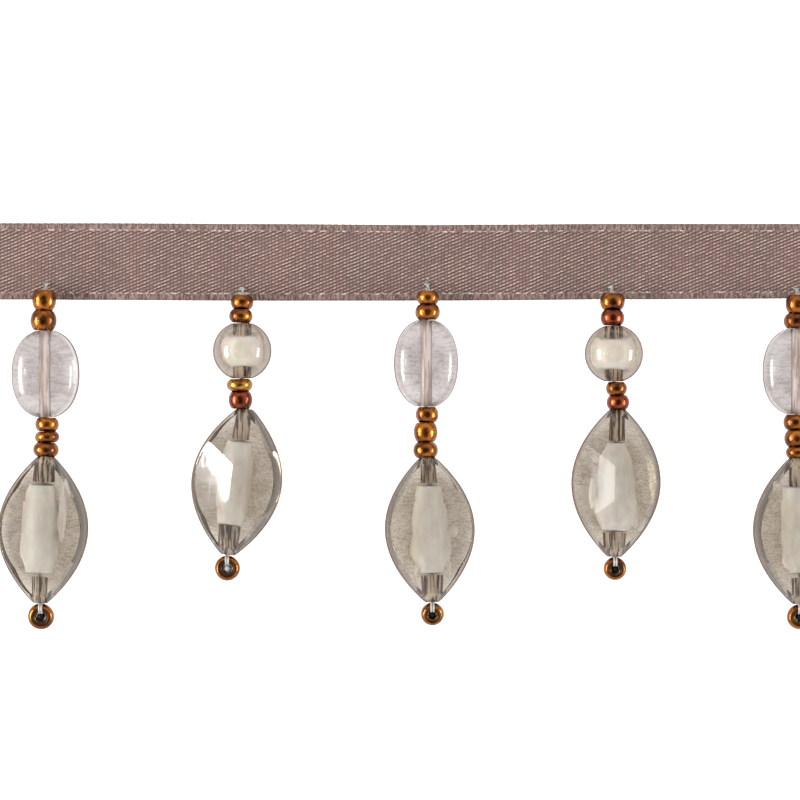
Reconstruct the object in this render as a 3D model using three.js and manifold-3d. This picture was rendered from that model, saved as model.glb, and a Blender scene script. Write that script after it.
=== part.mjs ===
// A cut length of beaded trim that lies face up on a flat surface, in millimetres.
// X runs along the ribbon, the drops of beads lie towards -Y, and +Z is up off the surface.
// The origin is on the surface, in the middle of the ribbon's back, in line with the middle drop.

import * as THREE from "three";
import { mergeVertices } from "three/addons/utils/BufferGeometryUtils.js";
import Module from "manifold-3d";

const wasm = await Module();
wasm.setup();

// Clearances
const GAP = 0.3; // between neighbouring pieces
const REST_FLAT = 0.1; // depth of the flat spot that a bead rests on
const CLEAR = 1; // how far a cutting form reaches past what it cuts

// Ribbon: its outline wanders a little, given as distances from the centre line
const RIBBON = { thick: 1.0, selvedge: 0.9, selvedgeThick: 0.8 };
const RIBBON_EDGES = [
  { along: -62.5, upper: 5.2, lower: 5.05 },
  { along: -45, upper: 5.2, lower: 5.1 },
  { along: -24, upper: 5.1, lower: 5.2 },
  { along: 0, upper: 4.95, lower: 5.2 },
  { along: 8, upper: 5.0, lower: 5.15 },
  { along: 24, upper: 5.1, lower: 5.05 },
  { along: 45, upper: 5.1, lower: 4.95 },
  { along: 62.5, upper: 5.15, lower: 5.0 },
];

// Thread: clear strands that run together, finer at the stitch, and one loop round the stop bead
const THREAD = { radius: 0.25, stitchRadius: 0.21, loopRadius: 0.15 };
const STITCH = { hole: 0.55, above: 1.0 };

// Beads, each with its hole along its own Y and its face towards its own +Z
const SEED = { hole: 1.1, corner: 0.7, stopLong: 1.8 };
const OVAL = { thick: 6.0, fullness: 2.2, reach: 1.03, end: 1.4, bore: 0.65 };
const ROUND = { bore: 0.65, end: 1.2 };
const ROUND_CORE = { long: 3.4, wide: 3.8, endWide: 3.0 };
const LARGE = {
  thick: 7.2,
  edgeThick: 4.8,
  endThick: 3.0,
  endWide: 3.8,
  ridge: 4.6,
  swell: 0.82,
  bore: 0.9,
  mouth: 1.2,
};
const LARGE_CORE = { long: 11.2, wide: 4.2, endWide: 3.2, bore: 0.8 };
const CORE_SHOULDER = 0.4; // where a core starts to taper, as a share of half its length
const MOUTH_TAPER = 1.5; // depth of a bore's widened mouth for each millimetre that it widens
const STRAIGHT_RUN = 0.3; // share of a resting bead's length, each way, where the thread is straight

// Height of the thread at the middle of the top seed, which lies over the ribbon's edge
const HEAD_HEIGHT = 2.95;

// Facets: sides of the round forms and rows along them
const SIDES = { seed: 10, oval: 18, round: 14, large: 18, core: 10, bore: 10, thread: 6, loop: 12 };
const OUTLINE_CURVE = 2;
const ROWS = { seed: 8, oval: 10, round: 8, large: 8 };
const STEPS = { stitch: 7, run: 20 };

// Drops: the place of each along the ribbon, how far its top bead starts below the ribbon's centre
// line, and its beads from the top. Long is the share of the drop that a bead takes, with the gap
// after it. Aside is its distance from the place of the drop, towards +X. Lean turns its lower end
// towards +X. Turn raises its right side, and on a stop bead the side towards the ribbon.
const COLUMNS = ["kind", "long", "wide", "aside", "lean", "turn"];
const DROPS = [
  {
    along: -51.15,
    top: 4.0,
    beads: [
      ["seed", 2.73, 3.2, -0.08, 0, 0],
      ["seed", 2.67, 3.5, -0.17, 0, 0],
      ["oval", 11.6, 9.0, 0.1, 0, 4],
      ["seed", 1.87, 3.2, 0.3, 0, 0],
      ["seed", 1.5, 3.3, 0.36, 0, 0],
      ["seed", 1.87, 3.4, 0.2, 0, 0],
      ["large", 19.4, 12.0, -0.17, -2.3, 6],
      ["stop", 3.07, 3.5, -0.45, 0, 6],
    ],
  },
  {
    along: -24.8,
    top: 4.67,
    beads: [
      ["seed", 1.93, 3.07, 0, 0, 0],
      ["seed", 1.8, 3.2, -0.15, 0, 0],
      ["round", 7.47, 7.8, 0.05, 0, 0],
      ["gold_seed", 1.6, 3.5, -0.3, 0, 0],
      ["red_seed", 2.4, 3.2, -0.2, 0, 0],
      ["large", 19.4, 12.1, -0.7, -6.9, 10],
      ["stop", 3.2, 3.4, -1.95, 0, 0],
    ],
  },
  {
    along: 0,
    top: 4.13,
    beads: [
      ["seed", 1.8, 2.95, 0, 0, 0],
      ["seed", 2.07, 3.3, -0.04, 0, 0],
      ["oval", 11.6, 8.55, -0.25, 0, -3],
      ["seed", 2.07, 3.07, -0.1, 0, 0],
      ["seed", 2.67, 3.2, -0.3, 0, 0],
      ["seed", 2.07, 3.3, -0.3, 0, 0],
      ["large", 19.1, 12.0, 0.25, 2.0, -6],
      ["stop", 3.27, 3.1, 0.6, 0, 14],
    ],
  },
  {
    along: 24.65,
    top: 4.4,
    beads: [
      ["seed", 2.27, 3.3, 0, 0, 0],
      ["red_seed", 2.07, 3.2, -0.04, 0, 0],
      ["round", 7.53, 7.75, 0.13, 0, 0],
      ["seed", 1.73, 2.8, 0.5, 0, 0],
      ["red_seed", 2.0, 3.07, 0.7, 0, 0],
      ["large", 19.47, 11.9, 0.43, -1.4, 6],
      ["stop", 2.8, 3.1, 0.29, 0, 8],
    ],
  },
  {
    along: 49.48,
    top: 4.67,
    beads: [
      ["seed", 2.47, 3.2, -0.13, 0, 0],
      ["seed", 2.0, 3.3, -0.3, 0, 0],
      ["oval", 11.47, 9.0, -0.25, 0, 3],
      ["seed", 2.07, 3.1, -0.45, 0, 0],
      ["seed", 2.2, 3.2, -0.33, 0, 0],
      ["seed", 1.6, 3.2, -0.13, 0, 0],
      ["large", 19.27, 12.0, -0.1, 1.0, -5],
      ["stop", 3.4, 3.4, 0.07, 0, 5],
    ],
  },
];

// Materials
const MATERIALS = {
  ribbon: { color: 0x8f7771, roughness: 0.8, metalness: 0 },
  thread: { color: 0xe6e6e4, roughness: 0.3, metalness: 0 },
  core: { color: 0xe4dfd6, roughness: 0.5, metalness: 0 },
  smoky: { color: 0xa79f92, roughness: 0.1, metalness: 0, transparent: true, opacity: 0.5 },
  clear: { color: 0xcfcacb, roughness: 0.1, metalness: 0, transparent: true, opacity: 0.45 },
  seed: { color: 0xb0642a, roughness: 0.3, metalness: 0.9 },
  red_seed: { color: 0x9c4324, roughness: 0.3, metalness: 0.9 },
  gold_seed: { color: 0xc08a3c, roughness: 0.3, metalness: 0.9 },
};
const MATERIAL_OF = { stop: "seed", oval: "clear", round: "smoky", large: "smoky" };

const radians = THREE.MathUtils.degToRad;

// Solids

// Turns a closed geometry into a solid that can be joined or cut.
function solidOf(geometry) {
  const bare = geometry.clone();
  bare.deleteAttribute("normal");
  bare.deleteAttribute("uv");
  const merged = mergeVertices(bare.index ? bare.toNonIndexed() : bare, 1e-4);
  return new wasm.Manifold(
    new wasm.Mesh({
      numProp: 3,
      vertProperties: merged.attributes.position.array,
      triVerts: new Uint32Array(merged.index.array),
    }),
  );
}

function geometryOf(solid) {
  const mesh = solid.getMesh();
  const geometry = new THREE.BufferGeometry();
  geometry.setAttribute("position", new THREE.BufferAttribute(mesh.vertProperties, 3));
  geometry.setIndex(new THREE.BufferAttribute(mesh.triVerts, 1));
  geometry.computeVertexNormals();
  return geometry;
}

function pieceMesh(name, geometry, material) {
  const mesh = new THREE.Mesh(geometry, new THREE.MeshStandardMaterial(MATERIALS[material]));
  mesh.name = name;
  return mesh;
}

// A body turned about Y from a list of [radius, y] that starts and ends on the axis or closes on itself.
function turned(profile, sides) {
  return new THREE.LatheGeometry(
    profile.map(([radius, y]) => new THREE.Vector2(radius, y)),
    sides,
  );
}

// A plain round bar along Y, centred at the origin.
function bar(radius, long, sides) {
  return turned(
    [
      [0, -long / 2],
      [radius, -long / 2],
      [radius, long / 2],
      [0, long / 2],
    ],
    sides,
  );
}

// A slab with a flat outline in X and Y, centred on its own thickness.
function slab(outline, thick) {
  const geometry = new THREE.ExtrudeGeometry(outline, {
    depth: thick,
    bevelEnabled: false,
    curveSegments: OUTLINE_CURVE,
  });
  return geometry.translate(0, 0, -thick / 2);
}

// Beads

// A glass seed: a ring whose section is a rectangle with well-rounded corners.
function seedGeometry(long, wide) {
  const inner = SEED.hole / 2;
  const middle = (inner + wide / 2) / 2;
  const half = (wide / 2 - inner) / 2;
  const soften = (value) => Math.sign(value) * Math.abs(value) ** SEED.corner;
  const profile = [];
  for (let row = 0; row <= ROWS.seed; row++) {
    const angle = (2 * Math.PI * (row % ROWS.seed)) / ROWS.seed - Math.PI;
    profile.push([middle + half * soften(Math.cos(angle)), (long / 2) * soften(Math.sin(angle))]);
  }
  return turned(profile, SIDES.seed);
}

// Half the width of an oval bead at a distance from its middle.
function ovalHalf(y, long, wide) {
  const reach = (long / 2) * OVAL.reach;
  return (wide / 2) * (1 - (Math.abs(y) / reach) ** OVAL.fullness) ** (1 / OVAL.fullness);
}

function ovalSolid(long, wide) {
  const profile = [[0, -long / 2]];
  for (let row = 0; row <= ROWS.oval; row++) {
    const y = (-long / 2) * Math.cos((Math.PI * row) / ROWS.oval);
    profile.push([Math.max(ovalHalf(y, long, wide), OVAL.end), y]);
  }
  profile.push([0, long / 2]);
  const outer = turned(profile, SIDES.oval).scale(1, 1, OVAL.thick / wide);
  return solidOf(outer).subtract(solidOf(bar(OVAL.bore, long + 2 * CLEAR, SIDES.bore)));
}

// A hollow for a core and the bore that leads to it from both ends of a bead.
function coreHollow(core, bore, mouth, long) {
  const half = core.long / 2 + GAP;
  const halfWide = core.wide / 2 + GAP;
  const halfEnd = core.endWide / 2 + GAP;
  const lead = (mouth - bore) * MOUTH_TAPER;
  return turned(
    [
      [0, -long / 2 - CLEAR],
      [mouth, -long / 2 - CLEAR],
      [mouth, -long / 2],
      [bore, -long / 2 + lead],
      [bore, -half],
      [halfEnd, -half],
      [halfWide, -half * CORE_SHOULDER],
      [halfWide, half * CORE_SHOULDER],
      [halfEnd, half],
      [bore, half],
      [bore, long / 2 - lead],
      [mouth, long / 2],
      [mouth, long / 2 + CLEAR],
      [0, long / 2 + CLEAR],
    ],
    SIDES.core,
  );
}

// A white core: a barrel with the thread's hole through it.
function coreGeometry(core, bore) {
  const half = core.long / 2;
  return turned(
    [
      [bore, -half],
      [core.endWide / 2, -half],
      [core.wide / 2, -half * CORE_SHOULDER],
      [core.wide / 2, half * CORE_SHOULDER],
      [core.endWide / 2, half],
      [bore, half],
      [bore, -half],
    ],
    SIDES.core,
  );
}

function roundSolid(long, wide) {
  const profile = [[0, -long / 2]];
  for (let row = 0; row <= ROWS.round; row++) {
    const y = (-long / 2) * Math.cos((Math.PI * row) / ROWS.round);
    profile.push([Math.max(Math.sqrt((wide / 2) ** 2 - y ** 2), ROUND.end), y]);
  }
  profile.push([0, long / 2]);
  const hollow = coreHollow(ROUND_CORE, ROUND.bore, ROUND.bore, long);
  return solidOf(turned(profile, SIDES.round)).subtract(solidOf(hollow));
}

// The large bead's outline is a parabola from end to end, and its swell makes the curved side walls.
function largeBlank(long, wide) {
  const end = LARGE.endWide / 2;
  const bow = new THREE.QuadraticBezierCurve(
    new THREE.Vector2(end, -long / 2),
    new THREE.Vector2(wide - end, 0),
    new THREE.Vector2(end, long / 2),
  );
  const side = bow.getPoints(ROWS.large).map((point) => [point.x, point.y]);
  const profile = [[0, -long / 2], ...side, [0, long / 2]];
  return turned(profile, SIDES.large).scale(1, 1, LARGE.swell);
}

// The two side facets of each face, which meet in a ridge along the bead.
function sideFacets(long, wide) {
  const edge = LARGE.edgeThick / 2;
  const section = new THREE.Shape([
    new THREE.Vector2(-wide / 2, -edge),
    new THREE.Vector2(0, -LARGE.thick / 2),
    new THREE.Vector2(wide / 2, -edge),
    new THREE.Vector2(wide / 2, edge),
    new THREE.Vector2(0, LARGE.thick / 2),
    new THREE.Vector2(-wide / 2, edge),
  ]);
  return slab(section, long).rotateX(Math.PI / 2);
}

// The two end facets of each face, which fall from the ridge to the bead's ends.
function endFacets(long, wide) {
  const end = LARGE.endThick / 2;
  const section = new THREE.Shape([
    new THREE.Vector2(-long / 2, -end),
    new THREE.Vector2(-LARGE.ridge / 2, -LARGE.thick / 2),
    new THREE.Vector2(LARGE.ridge / 2, -LARGE.thick / 2),
    new THREE.Vector2(long / 2, -end),
    new THREE.Vector2(long / 2, end),
    new THREE.Vector2(LARGE.ridge / 2, LARGE.thick / 2),
    new THREE.Vector2(-LARGE.ridge / 2, LARGE.thick / 2),
    new THREE.Vector2(-long / 2, end),
  ]);
  return slab(section, wide).rotateX(Math.PI / 2).rotateZ(Math.PI / 2);
}

function largeSolid(long, wide) {
  return solidOf(largeBlank(long, wide))
    .intersect(solidOf(sideFacets(long, wide)))
    .intersect(solidOf(endFacets(long, wide)))
    .subtract(solidOf(coreHollow(LARGE_CORE, LARGE.bore, LARGE.mouth, long)));
}

const RESTING = { oval: ovalSolid, round: roundSolid, large: largeSolid };
const CORES = {
  round: () => coreGeometry(ROUND_CORE, ROUND.bore),
  large: () => coreGeometry(LARGE_CORE, LARGE_CORE.bore),
};

// Turns a resting bead about its hole and cuts the flat spot that it rests on. Its axis is then
// as high over the surface as the cut face is below its own origin.
function restingBead(solid, turn) {
  const geometry = geometryOf(solid).rotateY(-radians(turn));
  geometry.computeBoundingBox();
  const { min, max } = geometry.boundingBox;
  const axisHeight = -min.z - REST_FLAT;
  const above = new THREE.BoxGeometry(
    max.x - min.x + 2 * CLEAR,
    max.y - min.y + 2 * CLEAR,
    max.z + CLEAR + axisHeight,
  );
  above.translate(0, 0, (max.z + CLEAR - axisHeight) / 2);
  return { geometry: geometryOf(solidOf(geometry).intersect(solidOf(above))), axisHeight };
}

// Drops

// Places the beads of a drop down its line, and gives each its size, centre and height.
function strung(drop) {
  let y = -drop.top;
  const beads = drop.beads.map((row) => {
    const bead = Object.fromEntries(COLUMNS.map((column, index) => [column, row[index]]));
    bead.solidLong = bead.kind === "stop" ? bead.wide : bead.long - GAP;
    bead.x = drop.along + bead.aside;
    bead.y = y - bead.solidLong / 2;
    y -= bead.long;
    if (bead.kind in RESTING) {
      Object.assign(bead, restingBead(RESTING[bead.kind](bead.solidLong, bead.wide), bead.turn));
    }
    return bead;
  });

  const knots = [{ y: beads[0].y, z: HEAD_HEIGHT }];
  for (const bead of beads.filter((each) => each.kind in RESTING)) {
    knots.push({ y: bead.y + bead.solidLong / 2, z: bead.axisHeight });
    knots.push({ y: bead.y - bead.solidLong / 2, z: bead.axisHeight });
  }
  const heightAt = (place) => {
    const next = knots.findIndex((knot) => knot.y < place);
    if (next === -1) return knots.at(-1).z;
    if (next === 0) return knots[0].z;
    const [above, below] = [knots[next - 1], knots[next]];
    return above.z + ((below.z - above.z) * (above.y - place)) / (above.y - below.y);
  };
  for (const bead of beads) {
    const half = bead.solidLong / 2;
    bead.z = heightAt(bead.y);
    const rise = heightAt(bead.y + half) - heightAt(bead.y - half);
    bead.tip = bead.kind === "stop" ? radians(bead.turn) : Math.atan2(rise, bead.solidLong);
  }
  return beads;
}

// A bead with what is moulded into it. The group's Y is the bead's hole, or its Z on a stop bead.
function beadGroup(bead, name) {
  const group = new THREE.Group();
  group.position.set(bead.x, bead.y, bead.z);
  group.rotation.set(bead.tip, 0, radians(bead.lean));
  const material = MATERIAL_OF[bead.kind] ?? bead.kind;
  if (bead.kind in RESTING) {
    group.add(pieceMesh(name, bead.geometry, material));
  } else if (bead.kind === "stop") {
    const upright = seedGeometry(SEED.stopLong, bead.wide).rotateX(Math.PI / 2);
    group.add(pieceMesh(name, upright, material));
  } else {
    group.add(pieceMesh(name, seedGeometry(bead.solidLong, bead.wide), material));
  }
  if (bead.kind in CORES) {
    group.add(pieceMesh(`${name}_core`, CORES[bead.kind](), "core"));
  }
  return group;
}

// Thread

// The middle of the stop bead's wall on the side towards the ribbon, which the loop goes round.
function stopWall(stop) {
  const arm = (SEED.hole + stop.wide) / 4;
  const out = new THREE.Vector3(0, arm * Math.cos(stop.tip), arm * Math.sin(stop.tip));
  return out.add(new THREE.Vector3(stop.x, stop.y, stop.z));
}

function threadLoop(stop) {
  const clear = GAP + THREAD.loopRadius;
  const reach = { y: (stop.wide - SEED.hole) / 4 + clear, z: SEED.stopLong / 2 + clear };
  const wall = stopWall(stop);
  const loop = new THREE.TorusGeometry(1, THREAD.loopRadius / reach.y, SIDES.thread, SIDES.loop);
  loop.rotateY(Math.PI / 2).scale(reach.y, reach.y, reach.z);
  return { geometry: loop.translate(wall.x, wall.y, wall.z), meet: wall.clone().setY(wall.y + reach.y) };
}

function strand(points, radius, steps) {
  const corners = [];
  for (let side = 0; side < SIDES.thread; side++) {
    const angle = (2 * Math.PI * side) / SIDES.thread;
    corners.push(new THREE.Vector2(Math.cos(angle), Math.sin(angle)).multiplyScalar(radius));
  }
  const path = new THREE.CatmullRomCurve3(points, false, "centripetal");
  return new THREE.ExtrudeGeometry(new THREE.Shape(corners), {
    extrudePath: path,
    steps,
    bevelEnabled: false,
  });
}

// The stitch through the ribbon, just above the top bead of a drop.
function stitchPlace(drop) {
  return { x: drop.along, y: STITCH.above - drop.top };
}

function threadGeometry(drop, beads) {
  const stitch = stitchPlace(drop);
  const top = beads[0];
  const mouth = new THREE.Vector3(top.x, top.y + top.solidLong / 2 + GAP / 2, top.z);
  const head = [
    new THREE.Vector3(stitch.x, stitch.y, GAP / 2),
    new THREE.Vector3(stitch.x, stitch.y, RIBBON.thick + GAP),
    new THREE.Vector3(stitch.x, stitch.y - GAP, top.z - GAP),
    mouth,
    new THREE.Vector3(top.x, top.y, top.z),
  ];
  const loop = threadLoop(beads.at(-1));
  const run = [new THREE.Vector3(top.x, top.y + top.solidLong / 4, top.z)];
  for (const bead of beads.slice(0, -1)) {
    if (bead.kind in RESTING) {
      const half = bead.solidLong * STRAIGHT_RUN;
      const lean = radians(bead.lean);
      run.push(new THREE.Vector3(bead.x - half * Math.sin(lean), bead.y + half, bead.z));
      run.push(new THREE.Vector3(bead.x + half * Math.sin(lean), bead.y - half, bead.z));
    } else {
      run.push(new THREE.Vector3(bead.x, bead.y, bead.z));
    }
  }
  run.push(loop.meet);
  return geometryOf(
    solidOf(strand(head, THREAD.stitchRadius, STEPS.stitch))
      .add(solidOf(strand(run, THREAD.radius, STEPS.run)))
      .add(solidOf(loop.geometry)),
  );
}

// Ribbon

function ribbonOutline(inset) {
  const upper = RIBBON_EDGES.map((row) => new THREE.Vector2(row.along, row.upper - inset));
  const lower = RIBBON_EDGES.map((row) => new THREE.Vector2(row.along, inset - row.lower)).reverse();
  const outline = new THREE.Shape();
  outline.moveTo(upper[0].x, upper[0].y);
  outline.splineThru(upper.slice(1));
  outline.lineTo(lower[0].x, lower[0].y);
  outline.splineThru(lower.slice(1));
  outline.closePath();
  return outline;
}

function ribbonGeometry() {
  const base = slab(ribbonOutline(0), RIBBON.selvedgeThick).translate(0, 0, RIBBON.selvedgeThick / 2);
  const body = slab(ribbonOutline(RIBBON.selvedge), RIBBON.thick).translate(0, 0, RIBBON.thick / 2);
  let ribbon = solidOf(base).add(solidOf(body));
  for (const drop of DROPS) {
    const { x, y } = stitchPlace(drop);
    const hole = bar(STITCH.hole, 2 * (RIBBON.thick + CLEAR), SIDES.bore).rotateX(Math.PI / 2);
    ribbon = ribbon.subtract(solidOf(hole.translate(x, y, 0)));
  }
  return geometryOf(ribbon);
}

// The trim
const trim = new THREE.Group();
trim.add(pieceMesh("ribbon", ribbonGeometry(), "ribbon"));

DROPS.forEach((drop, index) => {
  const name = `drop${index + 1}`;
  const beads = strung(drop);
  let seeds = 0;
  for (const bead of beads) {
    const plain = bead.kind.endsWith("seed") ? `seed${++seeds}` : bead.kind;
    trim.add(beadGroup(bead, `${name}_${plain}`));
  }
  trim.add(pieceMesh(`${name}_thread`, threadGeometry(drop, beads), "thread"));
});

export default trim;
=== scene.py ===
"""Dresses a cut length of beaded trim: a satin ribbon with five drops of beads.

The solids of the frame give every piece its place. X runs along the ribbon, the drops lie towards -Y,
and +Z is up off the surface that the trim lies on. Beads are shaped in millimetres about their own
centre, with the hole along Y, and are brought to metres when they are put in place.
"""

import functools
import math
import random

import bpy
from bpy.props import FloatProperty, FloatVectorProperty, PointerProperty
from mathutils import Euler, Matrix, Vector, noise


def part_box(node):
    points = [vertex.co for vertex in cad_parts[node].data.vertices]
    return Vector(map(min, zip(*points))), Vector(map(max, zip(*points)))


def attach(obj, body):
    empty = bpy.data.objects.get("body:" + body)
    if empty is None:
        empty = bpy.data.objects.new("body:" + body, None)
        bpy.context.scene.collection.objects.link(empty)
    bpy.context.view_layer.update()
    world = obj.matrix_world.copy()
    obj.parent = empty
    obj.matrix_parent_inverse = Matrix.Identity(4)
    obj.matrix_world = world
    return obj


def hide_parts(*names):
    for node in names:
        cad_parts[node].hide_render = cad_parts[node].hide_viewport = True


bl_info = {
    "name": "Beaded trim",
    "version": (1, 0, 0),
    "blender": (4, 5, 0),
    "location": "3D View > Sidebar > Trim",
    "description": "Models a satin ribbon with drops of copper seed beads and clear acrylic beads",
    "category": "Add Mesh",
}

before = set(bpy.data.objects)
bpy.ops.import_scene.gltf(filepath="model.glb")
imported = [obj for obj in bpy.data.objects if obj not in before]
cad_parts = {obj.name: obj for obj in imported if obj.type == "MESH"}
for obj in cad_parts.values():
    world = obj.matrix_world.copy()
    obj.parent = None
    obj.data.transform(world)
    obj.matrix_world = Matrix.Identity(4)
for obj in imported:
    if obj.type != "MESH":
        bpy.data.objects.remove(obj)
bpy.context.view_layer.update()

MM = 0.001
ALONG = Vector((1, 0, 0))
WELD = 1e-4

# The beads of each drop from the top: kind, share of the drop's length, width, lean and turn, as in
# the solids. Lean turns a bead's lower end towards +X, and turn raises its right side.
DROPS = [
    [
        ("seed", 2.73, 3.2, 0, 0),
        ("seed", 2.67, 3.5, 0, 0),
        ("oval", 11.6, 9.0, 0, 4),
        ("seed", 1.87, 3.2, 0, 0),
        ("seed", 1.5, 3.3, 0, 0),
        ("seed", 1.87, 3.4, 0, 0),
        ("large", 19.4, 12.0, -2.3, 6),
        ("stop", 3.5, 3.5, 0, 6),
    ],
    [
        ("seed", 1.93, 3.07, 0, 0),
        ("seed", 1.8, 3.2, 0, 0),
        ("round", 7.47, 7.8, 0, 0),
        ("gold_seed", 1.6, 3.5, 0, 0),
        ("red_seed", 2.4, 3.2, 0, 0),
        ("large", 19.4, 12.1, -6.9, 10),
        ("stop", 3.4, 3.4, 0, 0),
    ],
    [
        ("seed", 1.8, 2.95, 0, 0),
        ("seed", 2.07, 3.3, 0, 0),
        ("oval", 11.6, 8.55, 0, -3),
        ("seed", 2.07, 3.07, 0, 0),
        ("seed", 2.67, 3.2, 0, 0),
        ("seed", 2.07, 3.3, 0, 0),
        ("large", 19.1, 12.0, 2.0, -6),
        ("stop", 3.1, 3.1, 0, 14),
    ],
    [
        ("seed", 2.27, 3.3, 0, 0),
        ("red_seed", 2.07, 3.2, 0, 0),
        ("round", 7.53, 7.75, 0, 0),
        ("seed", 1.73, 2.8, 0, 0),
        ("red_seed", 2.0, 3.07, 0, 0),
        ("large", 19.47, 11.9, -1.4, 6),
        ("stop", 3.1, 3.1, 0, 8),
    ],
    [
        ("seed", 2.47, 3.2, 0, 0),
        ("seed", 2.0, 3.3, 0, 0),
        ("oval", 11.47, 9.0, 0, 3),
        ("seed", 2.07, 3.1, 0, 0),
        ("seed", 2.2, 3.2, 0, 0),
        ("seed", 1.6, 3.2, 0, 0),
        ("large", 19.27, 12.0, 1.0, -5),
        ("stop", 3.4, 3.4, 0, 5),
    ],
]
GAP = 0.3
REST_FLAT = 0.1

# Each large bead's bores and core. Sockets are how far the bore reaches in from the upper and the lower
# end, and bores are their radii. A section is the core's y, left side and right side, from the bead's
# middle. A blob of melt is its middle and its half sizes.
CORES = {
    1: {
        "sockets": (3.6, 3.7),
        "bores": (1.5, 1.1),
        "sections": [
            (5.8, -1.9, 1.6),
            (4.6, -2.3, 1.9),
            (1.0, -2.5, 2.2),
            (-3.2, -2.6, 2.2),
            (-5.6, -1.9, 1.7),
        ],
        "blobs": [((2.75, 2.6, 1.0), (0.5, 4.3, 0.7))],
    },
    2: {
        "sockets": (4.3, 4.1),
        "bores": (1.15, 1.5),
        "sections": [
            (5.2, -1.7, 1.6),
            (3.4, -2.1, 1.9),
            (0.0, -2.1, 2.0),
            (-4.2, -2.0, 1.9),
            (-5.6, -1.7, 1.6),
        ],
        "blobs": [],
    },
    3: {
        "sockets": (3.6, 3.8),
        "bores": (1.1, 1.5),
        "sections": [
            (5.7, -1.5, 1.4),
            (4.6, -1.9, 1.7),
            (0.5, -2.3, 2.2),
            (-3.0, -2.6, 2.5),
            (-5.6, -1.7, 1.5),
        ],
        "blobs": [
            ((2.8, -0.2, 0.9), (0.75, 0.95, 0.9)),
            ((2.3, -5.2, 0.9), (0.32, 1.5, 0.4)),
            ((-2.1, -5.0, 0.9), (0.34, 1.2, 0.4)),
        ],
    },
    4: {
        "sockets": (4.4, 3.4),
        "bores": (1.1, 1.55),
        "sections": [
            (5.2, -1.2, 1.2),
            (3.2, -2.1, 1.9),
            (0.0, -2.3, 2.4),
            (-4.0, -2.6, 2.9),
            (-6.2, -1.8, 1.9),
        ],
        "blobs": [((-2.9, -1.4, 0.9), (0.5, 2.3, 0.6)), ((2.6, -4.3, 0.2), (0.6, 1.6, 0.7))],
    },
    5: {
        "sockets": (4.0, 3.7),
        "bores": (1.3, 1.2),
        "sections": [
            (5.7, -2.2, 2.0),
            (3.6, -2.3, 2.2),
            (0.0, -2.3, 2.3),
            (-3.6, -2.2, 2.2),
            (-5.4, -1.5, 1.5),
        ],
        "blobs": [((-1.6, -3.8, 0.9), (0.9, 1.2, 0.6))],
    },
}

# The ribbon's outline: place along it and the distance of each edge from its centre line
RIBBON_EDGES = [
    (-62.5, 5.2, 5.05),
    (-45, 5.2, 5.1),
    (-24, 5.1, 5.2),
    (0, 4.95, 5.2),
    (8, 5.0, 5.15),
    (24, 5.1, 5.05),
    (45, 5.1, 4.95),
    (62.5, 5.15, 5.0),
]
DROP_PLACES = [-51.15, -24.8, 0, 24.65, 49.48]
DROP_TOPS = [4.0, 4.67, 4.13, 4.4, 4.67]


# Settings that a user would change


def linear(value):
    """Turns a hex colour into linear red, green and blue, and full cover."""
    channels = [(value >> shift & 255) / 255 for shift in (16, 8, 0)]
    return [c / 12.92 if c <= 0.04045 else ((c + 0.055) / 1.055) ** 2.4 for c in channels] + [1]


def length(name, description, millimetres):
    return FloatProperty(
        name=name, description=description, default=millimetres * MM, min=0, unit="LENGTH", precision=5
    )


def colour(name, description, value):
    return FloatVectorProperty(
        name=name, description=description, default=linear(value), size=4, min=0, max=1, subtype="COLOR"
    )


class TrimSizes(bpy.types.PropertyGroup):
    """Sizes of the trim's pieces."""

    ribbon_thick: length("Ribbon thickness", "Thickness of the woven ribbon", 0.45)
    weave_column: length("Weave column", "Distance between the floats along the ribbon", 0.455)
    weave_row: length("Weave row", "Distance between the floats across the ribbon", 0.461)
    selvedge: length("Selvedge", "Width of the plain band along each edge", 0.9)
    seed_hole: length("Seed bead hole", "Diameter of the hole in a seed bead", 1.1)
    stop_thick: length("Stop bead thickness", "Length of a stop bead along its hole", 1.8)
    oval_thick: length("Oval bead thickness", "Thickness of an oval bead", 6.0)
    large_thick: length("Large bead thickness", "Thickness of a large bead at its ridge", 7.2)
    bore: length("Bore", "Diameter of the bore in a large bead", 2.3)
    thread: length("Thread", "Diameter of one strand of thread", 0.26)


class TrimColours(bpy.types.PropertyGroup):
    """Colours of the trim's finishes."""

    # The ribbon colour goes on each float's crest, partly the yarn's colour and partly a painted highlight;
    # the ribbon shade is painted shadow and shade
    ribbon: colour("Ribbon", "Floats of the satin weave", 0xB09990)
    ribbon_deep: colour("Ribbon shade", "Between the floats of the weave", 0x2C1F1C)
    ribbon_edge: colour("Edge yarn", "Pale dashes along the selvedge", 0xC6BBB5)
    smoky: colour("Smoky acrylic", "Tint of the large and round beads", 0xF2F0EC)
    smoky_deep: colour("Smoky acrylic shade", "Deeper clouds in the smoky beads", 0xA48E78)
    clear: colour("Clear acrylic", "Tint of the oval beads", 0xE4E0E0)
    core: colour("Core", "Milky cores of the smoky beads", 0xFCFBF9)
    # The bore colours paint its streaks: a painted reflection in the pale ones and a painted shade in the
    # dark ones
    bore: colour("Bore", "Pale streaks in a bore", 0xD2C0A8)
    bore_painted_shade: colour("Bore shade", "Dark streaks in a bore", 0x40220F)
    seed: colour("Copper", "Copper of the seed beads", 0x96581B)
    seed_deep: colour("Copper shade", "Darker patches on the seed beads", 0x4C2410)
    red_seed: colour("Red copper", "The redder seed beads", 0x80371D)
    gold_seed: colour("Gold", "The golden seed bead", 0xA8762E)
    thread: colour("Thread", "Clear nylon thread", 0xB4B3AF)
    floor: colour("Floor", "Pale floor under the trim", 0xA6A6A6)


def sizes():
    return bpy.context.scene.trim_sizes


def colours():
    return bpy.context.scene.trim_colours


def mm(value):
    return value / MM


# Materials


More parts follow.
